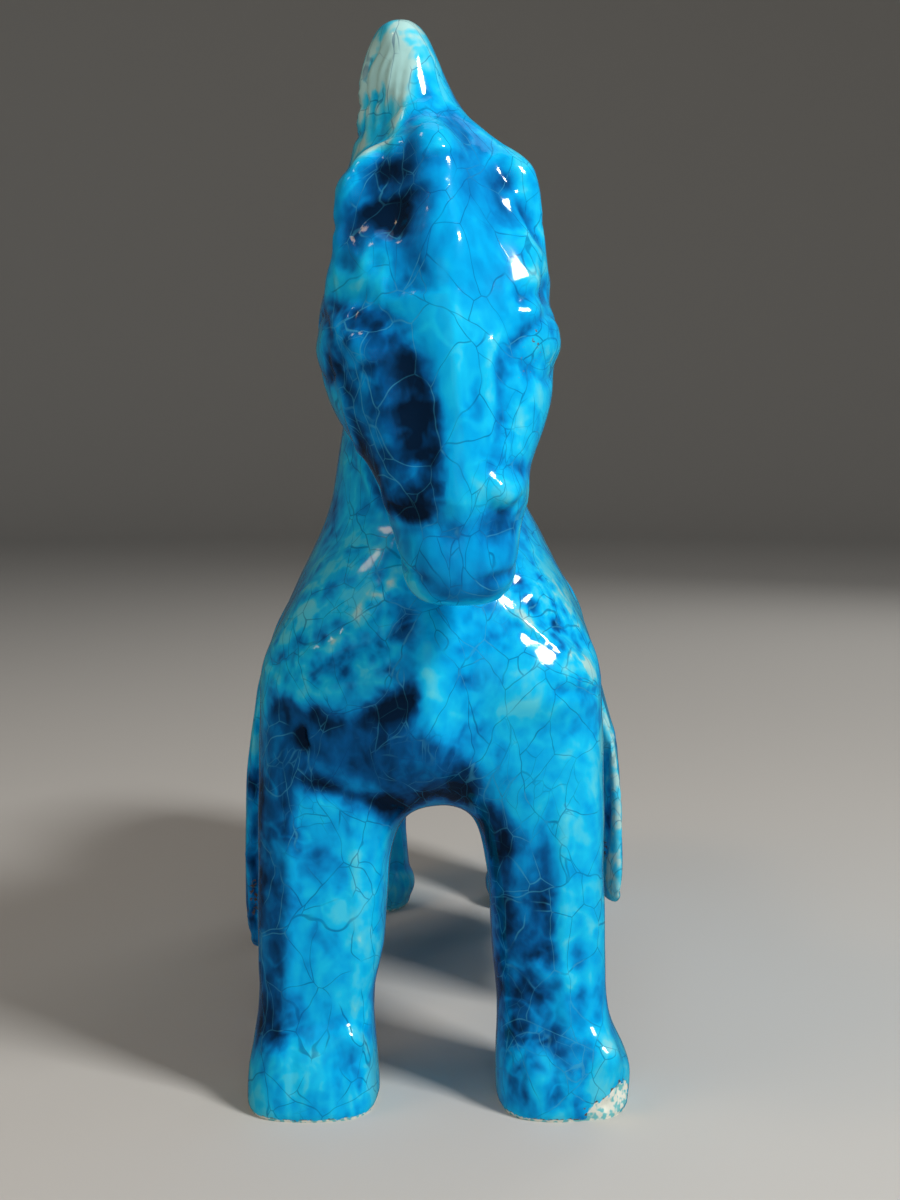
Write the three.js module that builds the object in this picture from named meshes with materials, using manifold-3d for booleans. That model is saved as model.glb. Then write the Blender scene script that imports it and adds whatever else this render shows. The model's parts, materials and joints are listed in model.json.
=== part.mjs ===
// A glazed earthenware horse in the Tang manner, standing four-square with its head bowed and turned a
// little to its left. Millimetres, +Z up. The horse faces -Y and its left side is +X. It is modelled about
// its chest, and moved at the end so that the origin is on the ground under the middle of its box.
import * as THREE from "three";
import { mergeVertices } from "three/addons/utils/BufferGeometryUtils.js";
import Module from "manifold-3d";

// Driving dimensions.
const height = 262.2; // ground to the tip of the forelock
const toeY = -92; // front of the fore hooves
const stride = 172; // fore toe to hind toe
const hindShiftX = 4.2; // the quarters stand a little to the horse's left of its chest
const headTurn = THREE.MathUtils.degToRad(12); // towards the horse's left
const earDrop = { right: 2.5, left: -1.5 }; // the right ear hangs lower
const clothFrontY = -34;
const clothBackY = 46;
const clothThickness = 5;
const clothCorner = 8; // radius of the flaps' lower corners
const foldDepth = 1.5;
const clothDrop = { right: 21.5, left: 34.5 }; // ground clearance of its two flaps

// Each form is a function of a point: negative inside the clay, zero on its skin, positive outside.
const { min, max, abs, hypot, pow, sin, cos } = Math;
const clamp = THREE.MathUtils.clamp;
const lerp = THREE.MathUtils.lerp;

// Joins two forms with a fillet about as wide as soft.
function join(a, b, soft) {
  const h = max(soft - abs(a - b), 0) / soft;
  return min(a, b) - (h * h * soft) / 4;
}

// Keeps what two forms share, with its edge rounded.
function common(a, b, soft) {
  return -join(-a, -b, soft);
}

// Cuts b out of a, with the lip of the cut rounded.
function carve(a, b, soft) {
  return common(a, -b, soft);
}

function ellipsoid(px, py, pz, rx, ry, rz) {
  const k0 = hypot(px / rx, py / ry, pz / rz);
  const k1 = hypot(px / (rx * rx), py / (ry * ry), pz / (rz * rz));
  return k1 < 1e-9 ? -min(rx, ry, rz) : (k0 * (k0 - 1)) / k1;
}

// A roll of clay between two points, a = [x, y, z, radius] and b the same.
function roll(px, py, pz, a, b) {
  const dx = b[0] - a[0],
    dy = b[1] - a[1],
    dz = b[2] - a[2];
  const t = clamp(
    ((px - a[0]) * dx + (py - a[1]) * dy + (pz - a[2]) * dz) /
      (dx * dx + dy * dy + dz * dz),
    0,
    1,
  );
  return (
    hypot(px - a[0] - t * dx, py - a[1] - t * dy, pz - a[2] - t * dz) -
    lerp(a[3], b[3], t)
  );
}

// The value of a row's field at a place along a stack of rows, on a smooth curve through them.
function along(rows, t, key) {
  let i = 0;
  while (i < rows.length - 2 && t > rows[i + 1].at) i++;
  const a = rows[i],
    b = rows[i + 1],
    before = rows[max(i - 1, 0)],
    after = rows[min(i + 2, rows.length - 1)];
  const span = b.at - a.at;
  const s = clamp((t - a.at) / span, 0, 1);
  const slopeA = ((b[key] - before[key]) / (b.at - before.at)) * span;
  const slopeB = ((after[key] - a[key]) / (after.at - a.at)) * span;
  const s2 = s * s,
    s3 = s2 * s;
  return (
    (2 * s3 - 3 * s2 + 1) * a[key] +
    (s3 - 2 * s2 + s) * slopeA +
    (3 * s2 - 2 * s3) * b[key] +
    (s3 - s2) * slopeB
  );
}

// A form stacked from rounded-square sections: at is a row's height, (x, y) its centre, wide and deep its
// half sizes, square how far it bulges into its corners, soft the rounding of the stack's ends.
function stack(rows, px, py, pz, square, soft) {
  const wide = along(rows, pz, "wide"),
    deep = along(rows, pz, "deep");
  const u = abs(px - along(rows, pz, "x")) / wide,
    v = abs(py - along(rows, pz, "y")) / deep;
  const side =
    (pow(pow(u, square) + pow(v, square), 1 / square) - 1) * min(wide, deep);
  const ends = max(rows[0].at - pz, pz - rows[rows.length - 1].at);
  return common(side, ends, soft);
}

// Barrel: a stack that lies along the horse, so its rows stand at places in y and their y is a height.
const barrelRows = [
  { at: -90, x: -1, y: 106, wide: 26, deep: 20 },
  { at: -80, x: -1, y: 107.5, wide: 36.5, deep: 31 },
  { at: -62, x: -0.8, y: 108, wide: 39, deep: 35 },
  { at: -34, x: -0.5, y: 109.2, wide: 37.5, deep: 36.4 },
  { at: 10, x: 0.8, y: 110, wide: 36.2, deep: 38 },
  { at: 50, x: 1.4, y: 111, wide: 35.5, deep: 39.5 },
  { at: 80, x: 2.8, y: 112, wide: 35.2, deep: 40.5 },
  { at: 100, x: 4.2, y: 115, wide: 30, deep: 31 },
  { at: 111, x: 4.2, y: 116, wide: 17, deep: 17 },
];

function barrel(x, y, z) {
  return stack(barrelRows, x, z, y, 2, 12);
}

// Neck, with the fin of the forelock at its head.
const neckRows = [
  { at: 88, x: 0, y: -50, wide: 38, deep: 36 },
  { at: 112, x: -0.2, y: -49, wide: 35.8, deep: 36 },
  { at: 124, x: 0.5, y: -47, wide: 31, deep: 34 },
  { at: 134, x: -0.2, y: -45, wide: 28.2, deep: 32.5 },
  { at: 144, x: -1, y: -45, wide: 25.7, deep: 30.5 },
  { at: 154, x: -2, y: -46, wide: 23.7, deep: 29 },
  { at: 170, x: -2, y: -48, wide: 21, deep: 28 },
  { at: 190, x: -2, y: -53, wide: 19, deep: 27 },
  { at: 208, x: -2.4, y: -60, wide: 18, deep: 25 },
  { at: 224, x: -3, y: -67, wide: 17, deep: 22 },
  { at: 237, x: -2.6, y: -73, wide: 13.4, deep: 18.5 },
  { at: 246, x: -5.2, y: -77, wide: 10.2, deep: 14.5 },
  { at: 255, x: -6.2, y: -80, wide: 7, deep: 9.5 },
  { at: height, x: -7.7, y: -81.5, wide: 4.6, deep: 5 },
];

function neck(x, y, z) {
  return stack(neckRows, x, y, z, 2.05, 5);
}

// Mane: combed over to the horse's right, in locks that lie aslant down the neck.
const crest = [
  [-12, 148],
  [-18, 168],
  [-25, 188],
  [-34, 206],
  [-44, 223],
  [-55, 238],
  [-64, 247],
];

function mane(x, y, z) {
  let away = Infinity,
    run = 0,
    place = 0;
  for (let i = 0; i < crest.length - 1; i++) {
    const [ay, az] = crest[i],
      [by, bz] = crest[i + 1];
    const length = hypot(by - ay, bz - az);
    const t = clamp(((y - ay) * (by - ay) + (z - az) * (bz - az)) / (length * length), 0, 1);
    const d = hypot(y - lerp(ay, by, t), z - lerp(az, bz, t));
    if (d < away) {
      away = d;
      place = run + t * length;
    }
    run += length;
  }
  const lock = 0.5 + 0.5 * cos((place - away * 0.55) * 0.66);
  const layer = neck(x, y, z) - 1.2 - 1.3 * lock;
  const edge = max(away - 19 - 3 * lock, x - 3.5 + 0.2 * away);
  return common(layer, edge, 2.5);
}

// Head: worked in a frame of its own, upright and facing -Y, about its middle.
const headMiddle = [1, -90];
const headRows = [
  { at: 128, x: 2, y: -107, wide: 10.8, deep: 9.5 },
  { at: 133, x: 1.8, y: -107, wide: 12.4, deep: 11.8 },
  { at: 141, x: 1.6, y: -106.5, wide: 13.8, deep: 13.2 },
  { at: 150, x: 1.2, y: -105, wide: 15.4, deep: 14.5 },
  { at: 159, x: 0.7, y: -101.5, wide: 18.3, deep: 17 },
  { at: 170, x: 0.3, y: -96, wide: 24, deep: 21 },
  { at: 182, x: 0, y: -92, wide: 27, deep: 24 },
  { at: 193, x: 0, y: -89.5, wide: 27, deep: 24.5 },
  { at: 206, x: 0, y: -87, wide: 23.4, deep: 23 },
  { at: 220, x: 0, y: -84, wide: 20, deep: 20 },
  { at: 233, x: -1.5, y: -81.5, wide: 14.5, deep: 15.5 },
];

function toHead(x, y, z) {
  const dx = x - headMiddle[0],
    dy = y - headMiddle[1];
  const across = dx * cos(headTurn) + dy * sin(headTurn),
    forward = -dx * sin(headTurn) + dy * cos(headTurn);
  return [across, forward + headMiddle[1], z];
}

function head(wx, wy, wz) {
  const [x, y, z] = toHead(wx, wy, wz);
  const side = abs(x);
  let skin = stack(headRows, x, y, z, 2.3, 6);
  // brow, and the crease under it
  skin = join(skin, roll(side, y, z, [15.5, -102.5, 207, 4.4], [21.6, -95, 201, 5]), 4);
  skin = carve(skin, roll(side, y, z, [16.5, -114, 196, 2], [31, -93, 196.5, 2.2]), 4);
  // eye
  skin = join(skin, ellipsoid(side - 20.6, y + 98, z - 189, 6.6, 8.5, 7), 3);
  skin = carve(skin, roll(side, y, z, [19.5, -111.5, 180.5, 1.1], [27, -99, 181.5, 0.8]), 4);
  // hollow beside the nose
  skin = carve(skin, roll(side, y, z, [16, -115.5, 189, 3.4], [11.5, -120.5, 170, 3.6]), 5);
  skin = carve(skin, roll(side, y, z, [11.5, -120.5, 170, 3.6], [9.5, -122, 154, 2.6]), 5);
  // keel of the forehead, and the bridge of the nose below it
  skin = join(skin, roll(x, y, z, [-2.2, -98.5, 230, 5], [-2.4, -106, 207, 6.4]), 7);
  skin = join(skin, roll(x, y, z, [-2.4, -106, 207, 6.4], [0.6, -114.2, 153, 5]), 6);
  // nostril, and the fold over the lip
  skin = join(skin, roll(abs(x - 1.2), y, z, [9.5, -112.4, 153, 4.4], [12.4, -108, 152.5, 4.2]), 4);
  skin = carve(skin, roll(abs(x - 1.2), y, z, [10.5, -119.4, 150.5, 1.3], [14, -115, 154, 1.7]), 2);
  skin = carve(skin, roll(abs(x - 1.6), y, z, [0, -122.6, 145, 1.6], [15, -113, 147.5, 1.5]), 4);
  return join(skin, ear(side, y, z + (x < 0 ? earDrop.right : earDrop.left)), 3);
}

// One ear: a leaf that droops from beside the forelock, hollowed down its length.
function ear(side, y, z) {
  let leaf = roll(side, y, z, [8.8, -88, 231.5, 4.6], [17, -92, 222.5, 5.8]);
  leaf = join(leaf, roll(side, y, z, [17, -92, 222.5, 5.8], [21, -96, 208.5, 3.8]), 5);
  return carve(leaf, roll(side, y, z, [12, -101.5, 223, 2.4], [20.5, -102.5, 209, 2.2]), 3);
}

// Fore legs. The rows of the two sides differ: the horse's left one turns its hoof out.
const foreY = toeY + 18;
const rightForeRows = [
  { at: -6, x: -30, y: foreY, wide: 15.6, deep: 16.6 },
  { at: 3, x: -30.2, y: foreY, wide: 16.8, deep: 17.8 },
  { at: 9, x: -30, y: foreY + 0.3, wide: 16.4, deep: 17.2 },
  { at: 18, x: -29.4, y: foreY + 1, wide: 15, deep: 15.3 },
  { at: 27, x: -29.2, y: foreY + 2, wide: 14.4, deep: 14.2 },
  { at: 38, x: -28.2, y: foreY + 2.5, wide: 15.8, deep: 14.6 },
  { at: 60, x: -27, y: foreY + 3.5, wide: 16.6, deep: 16 },
  { at: 92, x: -24, y: foreY + 6, wide: 18.5, deep: 19 },
  { at: 110, x: -22, y: foreY + 8, wide: 15, deep: 16 },
];
const leftForeRows = [
  { at: -6, x: 32.6, y: foreY, wide: 15.6, deep: 16.6 },
  { at: 3, x: 32.4, y: foreY, wide: 16.6, deep: 17.8 },
  { at: 9, x: 32.8, y: foreY + 0.3, wide: 17, deep: 17.2 },
  { at: 18, x: 30.6, y: foreY + 1, wide: 14.6, deep: 15.3 },
  { at: 27, x: 29.8, y: foreY + 2, wide: 13.6, deep: 14.2 },
  { at: 38, x: 29.1, y: foreY + 2.5, wide: 14.4, deep: 14.6 },
  { at: 60, x: 28, y: foreY + 3.5, wide: 14.8, deep: 16 },
  { at: 92, x: 24.5, y: foreY + 6, wide: 17.5, deep: 19 },
  { at: 110, x: 22, y: foreY + 8, wide: 15, deep: 16 },
];

// Hind leg of one side: side is -1 on the horse's right and 1 on its left.
function hindRows(side) {
  const y = toeY + stride + 17;
  const x = (out) => hindShiftX + side * out;
  return [
    { at: -6, x: x(29.4), y: y, wide: 14.6, deep: 16 },
    { at: 3, x: x(29.5), y: y, wide: 15.6, deep: 17 },
    { at: 9, x: x(29), y: y + 0.3, wide: 15.4, deep: 16.6 },
    { at: 18, x: x(28.4), y: y + 1.5, wide: 13.6, deep: 14.6 },
    { at: 28, x: x(28), y: y + 3, wide: 12.6, deep: 13 },
    { at: 44, x: x(27.5), y: y + 6, wide: 12.8, deep: 13.6 },
    { at: 60, x: x(27), y: y + 6, wide: 14.4, deep: 17 },
    { at: 80, x: x(25), y: y - 3, wide: 17, deep: 24 },
    { at: 104, x: x(21.5), y: y - 14, wide: 19, deep: 30 },
    { at: 126, x: x(17), y: y - 17, wide: 14, deep: 25 },
    { at: 139, x: x(13), y: y - 17, wide: 11, deep: 17 },
  ];
}

const foreLegs = [rightForeRows, leftForeRows];
const hindLegs = [hindRows(-1), hindRows(1)];

function legs(x, y, z) {
  const fore = min(...foreLegs.map((rows) => stack(rows, x, y, z, 3, 3)));
  const hind = min(...hindLegs.map((rows) => stack(rows, x, y, z, 2.6, 3)));
  return min(fore, hind);
}

// Breast: a pad of muscle on each side with a ledge below it, a furrow where the neck rises out of the two,
// and a keel.
function breast(x, y, z, body) {
  const rightPad = common(ellipsoid(x + 21, y + 72, z - 105, 22, 21.5, 19), 99 - z, 3);
  const leftPad = common(ellipsoid(x - 21.5, y + 72, z - 105, 20, 20.5, 18.5), 98.5 - z, 5);
  const keel = roll(x, y, z, [-1, -86, 116, 5], [-1.5, -87.5, 92, 5]);
  let skin = join(join(join(body, rightPad, 2.5), leftPad, 3.5), keel, 9);
  skin = carve(skin, roll(x, y, z, [-2, -92, 124, 1.8], [-31, -92, 111, 2]), 5);
  skin = carve(skin, roll(x, y, z, [-31, -92, 111, 2], [-42, -78, 112, 1.6]), 5);
  skin = carve(skin, roll(x, y, z, [22, -91, 126, 1.8], [40, -79, 113, 1.6]), 5);
  return carve(skin, roll(x, y, z, [-38, -92, 77, 2.2], [-15, -93, 74, 2]), 6); // above the right fore leg
}

// Saddle cloth: a sheet that lies over the barrel and hangs free below it in soft folds, longer on the
// horse's right.
const rightFlap = [
  { at: 24, out: 49.3 },
  { at: 50, out: 50.3 },
  { at: 61, out: 50.1 },
  { at: 72, out: 50 },
  { at: 83, out: 48.8 },
  { at: 94, out: 47 },
  { at: 100, out: 45.4 },
  { at: 105, out: 43.8 },
  { at: 110.5, out: 41.6 },
  { at: 116, out: 38.6 },
  { at: 124, out: 33 },
];
const leftFlap = [
  { at: 34, out: 50.9 },
  { at: 50, out: 50.9 },
  { at: 66, out: 50.9 },
  { at: 78, out: 49.6 },
  { at: 89, out: 46.6 },
  { at: 100, out: 43 },
  { at: 105, out: 41.6 },
  { at: 110.5, out: 39.4 },
  { at: 116, out: 37.2 },
  { at: 124, out: 33 },
];

function cloth(wx, y, z) {
  const x = wx - along(barrelRows, y, "x");
  const side = x < 0 ? "right" : "left";
  const fall = clamp((112 - z) / 50, 0, 1); // the folds deepen as the flap falls
  const fold = sin((y - clothFrontY) * 0.2 + 0.6 + 0.02 * z);
  const out = along(x < 0 ? rightFlap : leftFlap, z, "out") - foldDepth * (1 - fold) * fall;
  const sheet = abs(abs(x) - out) - clothThickness / 2;
  const over = abs(barrel(wx, y, z) - 0.4) - 2;
  const skin = join(common(sheet, z - 120, 4), common(over, 102 - z, 6), 6);
  const midY = (clothFrontY + clothBackY) / 2,
    half = (clothBackY - clothFrontY) / 2;
  const qy = max(abs(y - midY) - half + clothCorner, 0),
    qz = max(clothDrop[side] + clothCorner - z, 0);
  return common(skin, hypot(qy, qz) - clothCorner, 4);
}

// Saddle: a seat between two arched boards, the one behind leaning back.
function saddle(x, y, z) {
  const seat = ellipsoid(x - 1.2, y - 11, z - 142, 20, 27, 12.5);
  const pommel = ellipsoid(x - 0.6, y + 12 + 0.12 * (z - 148), z - 147, 17, 6.4, 19.5);
  const cantle = ellipsoid(x - 1.6, y - 33 - 0.3 * (z - 148), z - 147, 20, 6.6, 22);
  return join(join(seat, pommel, 9), cantle, 9);
}

// Tail: docked, and falling close to the quarters.
const tailRolls = [
  [4.2, 97, 141, 10],
  [4.2, 111, 129, 8.6],
  [4.2, 115, 112, 7.8],
  [4.2, 114.5, 94, 8.2],
  [4.2, 112.5, 82, 5.8],
];

function tail(x, y, z) {
  let skin = roll(x, y, z, tailRolls[0], tailRolls[1]);
  for (let i = 1; i < tailRolls.length - 1; i++)
    skin = join(skin, roll(x, y, z, tailRolls[i], tailRolls[i + 1]), 7);
  return skin;
}

function horse(x, y, z) {
  let skin = join(barrel(x, y, z), neck(x, y, z), 14);
  skin = join(skin, legs(x, y, z), 9);
  skin = breast(x, y, z, skin);
  skin = join(skin, mane(x, y, z), 1.5);
  skin = join(skin, head(x, y, z), 6);
  skin = join(skin, tail(x, y, z), 5);
  skin = join(skin, saddle(x, y, z), 3);
  return join(skin, cloth(x, y, z), 2.5);
}

const cell = 2.8; // of the grid that the first skin is found on, before it is thinned

function gridLines(first, last) {
  const count = Math.round((last - first) / cell);
  return Array.from({ length: count + 1 }, (_, i) => lerp(first, last, i / count));
}

const gridX = gridLines(-60, 62);
const gridY = gridLines(-126, 132);
const gridZ = gridLines(-14, height + 10);

// Skins the zero level of a form on a grid: a vertex in each cell that the skin crosses, and a quad round
// each crossed edge.
function skinOf(form, xs, ys, zs) {
  const nx = xs.length,
    ny = ys.length,
    nz = zs.length;
  const node = (i, j, k) => (k * ny + j) * nx + i;
  const value = new Float64Array(nx * ny * nz);
  for (let k = 0; k < nz; k++)
    for (let j = 0; j < ny; j++)
      for (let i = 0; i < nx; i++) value[node(i, j, k)] = form(xs[i], ys[j], zs[k]);
  const step = [1, nx, nx * ny];
  closePinches(value, node, [nx, ny, nz], step);

  const positions = [];
  const vertexOf = new Map();
  const corners = [0, 1, 2, 3, 4, 5, 6, 7].map((c) => [c & 1, (c >> 1) & 1, c >> 2]);
  const edges = [];
  for (let a = 0; a < 8; a++)
    for (const bit of [1, 2, 4]) if (!(a & bit)) edges.push([a, a | bit]);
  for (let k = 0; k < nz - 1; k++)
    for (let j = 0; j < ny - 1; j++)
      for (let i = 0; i < nx - 1; i++) {
        const v = corners.map(([a, b, c]) => value[node(i + a, j + b, k + c)]);
        const p = [0, 0, 0];
        let n = 0;
        for (const [a, b] of edges) {
          if ((v[a] < 0) === (v[b] < 0)) continue;
          const t = v[a] / (v[a] - v[b]);
          p[0] += lerp(xs[i + corners[a][0]], xs[i + corners[b][0]], t);
          p[1] += lerp(ys[j + corners[a][1]], ys[j + corners[b][1]], t);
          p[2] += lerp(zs[k + corners[a][2]], zs[k + corners[b][2]], t);
          n++;
        }
        if (!n) continue;
        vertexOf.set(node(i, j, k), positions.length / 3);
        positions.push(p[0] / n, p[1] / n, p[2] / n);
      }

  const triangles = [];
  for (let k = 1; k < nz - 1; k++)
    for (let j = 1; j < ny - 1; j++)
      for (let i = 1; i < nx - 1; i++) {
        const at = node(i, j, k);
        for (let d = 0; d < 3; d++) {
          const here = value[at] < 0,
            there = value[at + step[d]] < 0;
          if (here === there) continue;
          const e = step[(d + 1) % 3],
            f = step[(d + 2) % 3];
          const quad = [at - e - f, at - f, at, at - e].map((c) => vertexOf.get(c));
          if (!here) quad.reverse();
          triangles.push(quad[0], quad[1], quad[2], quad[0], quad[2], quad[3]);
        }
      }
  return { positions, triangles };
}

const justInside = -0.05;

// Fills a grid face whose clay touches only across a diagonal, so that no edge of the skin has four quads.
function closePinches(value, node, [nx, ny, nz], step) {
  for (let found = true; found; ) {
    found = false;
    for (let k = 0; k < nz - 1; k++)
      for (let j = 0; j < ny - 1; j++)
        for (let i = 0; i < nx - 1; i++) {
          const at = node(i, j, k);
          for (let d = 0; d < 3; d++) {
            const e = step[(d + 1) % 3],
              f = step[(d + 2) % 3];
            const face = [at, at + e, at + e + f, at + f];
            const inside = face.map((c) => value[c] < 0);
            const diagonal = inside[0] === inside[2] && inside[1] === inside[3] && inside[0] !== inside[1];
            if (!diagonal) continue;
            const air = inside[0] ? [face[1], face[3]] : [face[0], face[2]];
            value[value[air[0]] < value[air[1]] ? air[0] : air[1]] = justInside;
            found = true;
          }
        }
  }
}

// Plane through three points as [a, b, c, d] of unit normal, with the area of their triangle.
function planeOf(p, q, r) {
  const ux = q[0] - p[0],
    uy = q[1] - p[1],
    uz = q[2] - p[2];
  const vx = r[0] - p[0],
    vy = r[1] - p[1],
    vz = r[2] - p[2];
  const n = [uy * vz - uz * vy, uz * vx - ux * vz, ux * vy - uy * vx];
  const length = hypot(...n) || 1e-12;
  const [a, b, c] = n.map((m) => m / length);
  return [a, b, c, -(a * p[0] + b * p[1] + c * p[2]), length / 2];
}

// The upper half of the 4 by 4 matrix that gives the squared distance to a plane.
function quadricOf([a, b, c, d, area]) {
  return [a * a, a * b, a * c, a * d, b * b, b * c, b * d, c * c, c * d, d * d].map((m) => m * area);
}

function quadricError(q, [x, y, z]) {
  return (
    q[0] * x * x + 2 * q[1] * x * y + 2 * q[2] * x * z + 2 * q[3] * x +
    q[4] * y * y + 2 * q[5] * y * z + 2 * q[6] * y +
    q[7] * z * z + 2 * q[8] * z + q[9]
  );
}

// The point of least error, or null where the planes are too close to parallel to have one.
function quadricPoint(q) {
  const m = new THREE.Matrix3().set(q[0], q[1], q[2], q[1], q[4], q[5], q[2], q[5], q[7]);
  const scale = q[0] + q[4] + q[7];
  if (abs(m.determinant()) < 1e-3 * scale * scale * scale) return null;
  return new THREE.Vector3(-q[3], -q[6], -q[8]).applyMatrix3(m.invert()).toArray();
}

const lengthCost = 0.002; // a small charge on long edges, so that flat places thin evenly
const leastShape = 0.06; // of a triangle: its area over its longest side squared

// Thins a closed skin to a number of triangles, folding the least visible edge each time.
function thin({ positions, triangles }, target, importance) {
  const count = positions.length / 3;
  const points = Array.from({ length: count }, (_, i) => positions.slice(3 * i, 3 * i + 3));
  const faces = [];
  const around = points.map(() => new Set());
  const quadrics = points.map(() => new Array(10).fill(0));
  const stamps = new Uint32Array(count);
  for (let t = 0; t < triangles.length; t += 3) {
    const face = triangles.slice(t, t + 3);
    const quadric = quadricOf(planeOf(...face.map((v) => points[v])));
    for (const v of face) {
      around[v].add(faces.length);
      quadric.forEach((m, o) => (quadrics[v][o] += m));
    }
    faces.push(face);
  }
  const neighbours = (v) => {
    const ring = new Set();
    for (const f of around[v]) for (const w of faces[f]) if (w !== v) ring.add(w);
    return ring;
  };
  const heap = [];
  const consider = (a, b) => {
    const q = quadrics[a].map((m, o) => m + quadrics[b][o]);
    const middle = points[a].map((m, o) => (m + points[b][o]) / 2);
    const length = hypot(...points[a].map((m, o) => m - points[b][o]));
    let place = quadricPoint(q);
    if (!place || hypot(...place.map((m, o) => m - middle[o])) > length) place = middle;
    const cost = (max(quadricError(q, place), 0) + lengthCost * pow(length, 3)) * importance(middle);
    pushHeap(heap, { cost, a, b, place, stamp: stamps[a] + stamps[b] });
  };
  for (let v = 0; v < count; v++) for (const w of neighbours(v)) if (v < w) consider(v, w);

  let left = faces.length;
  while (left > target && heap.length) {
    const { a, b, place, stamp } = popHeap(heap);
    if (!around[a].size || !around[b].size || stamp !== stamps[a] + stamps[b]) continue;
    const ringB = neighbours(b);
    if (!ringB.has(a) || [...neighbours(a)].filter((v) => ringB.has(v)).length !== 2) continue;
    if (turnsOver(points, faces, around, a, b, place)) continue;
    if (turnsOver(points, faces, around, b, a, place)) continue;
    for (const f of [...around[b]]) {
      if (faces[f].includes(a)) {
        for (const v of faces[f]) around[v].delete(f);
        left--;
      } else {
        faces[f] = faces[f].map((v) => (v === b ? a : v));
        around[a].add(f);
      }
    }
    around[b].clear();
    points[a] = place;
    quadrics[b].forEach((m, o) => (quadrics[a][o] += m));
    stamps[a]++;
    for (const v of neighbours(a)) consider(a, v);
  }
  return skinGeometry(points, faces.filter((face, f) => around[face[0]].has(f)));
}

// Whether a triangle round v that doesn't hold other would turn over, or fold to a sliver, with v moved.
function turnsOver(points, faces, around, v, other, place) {
  for (const f of around[v]) {
    if (faces[f].includes(other)) continue;
    const before = planeOf(...faces[f].map((w) => points[w]));
    const corners = faces[f].map((w) => (w === v ? place : points[w]));
    const after = planeOf(...corners);
    const sides = corners.map((c, o) => hypot(...c.map((m, axis) => m - corners[(o + 1) % 3][axis])));
    const longest = max(...sides);
    const dot = before[0] * after[0] + before[1] * after[1] + before[2] * after[2];
    if (dot < 0.5 || after[4] < leastShape * longest * longest) return true;
  }
  return false;
}

function pushHeap(heap, item) {
  let i = heap.push(item) - 1;
  while (i > 0) {
    const up = (i - 1) >> 1;
    if (heap[up].cost <= heap[i].cost) break;
    [heap[up], heap[i]] = [heap[i], heap[up]];
    i = up;
  }
}

function popHeap(heap) {
  const top = heap[0],
    last = heap.pop();
  if (heap.length) {
    heap[0] = last;
    for (let i = 0; ; ) {
      let least = i;
      for (const child of [2 * i + 1, 2 * i + 2])
        if (child < heap.length && heap[child].cost < heap[least].cost) least = child;
      if (least === i) break;
      [heap[least], heap[i]] = [heap[i], heap[least]];
      i = least;
    }
  }
  return top;
}

function skinGeometry(points, faces) {
  const geometry = new THREE.BufferGeometry();
  geometry.setAttribute("position", new THREE.Float32BufferAttribute(points.flat(), 3));
  geometry.setIndex(faces.flat());
  return geometry;
}

const wasm = await Module();
wasm.setup();

function solidOf(geometry) {
  geometry.deleteAttribute("normal");
  geometry.deleteAttribute("uv");
  const merged = mergeVertices(geometry, 1e-5);
  return new wasm.Manifold(
    new wasm.Mesh({
      numProp: 3,
      vertProperties: merged.attributes.position.array,
      triVerts: new Uint32Array(merged.index.array),
    }),
  );
}

function geometryOf(solid) {
  const mesh = solid.getMesh();
  const geometry = new THREE.BufferGeometry();
  geometry.setAttribute("position", new THREE.BufferAttribute(mesh.vertProperties, 3));
  geometry.setIndex(new THREE.BufferAttribute(mesh.triVerts, 1));
  return geometry;
}

// The feet are cut flat where they stand.
const ground = new THREE.BoxGeometry(2 * height, 2 * height, 40).translate(0, 0, -20);
const triangleCount = 9600;
const importance = ([, y, z]) => (y < -70 && z > 122 ? 3 : 1); // the head keeps the most of its form
const skin = thin(skinOf(horse, gridX, gridY, gridZ), triangleCount, importance);
const body = solidOf(skin).subtract(solidOf(ground));

const glaze = new THREE.MeshStandardMaterial({ color: 0x0a86bd, roughness: 0.12, metalness: 0 });
const geometry = geometryOf(body);
geometry.computeBoundingBox();
const middle = geometry.boundingBox.getCenter(new THREE.Vector3());
geometry.translate(-middle.x, -middle.y, 0);
const horseMesh = new THREE.Mesh(geometry, glaze);
horseMesh.name = "horse";

const figure = new THREE.Group();
figure.add(horseMesh);
export default figure;
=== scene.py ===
import json
import math

import bpy
import numpy as np
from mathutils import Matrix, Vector, noise
from mathutils.bvhtree import BVHTree

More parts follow.
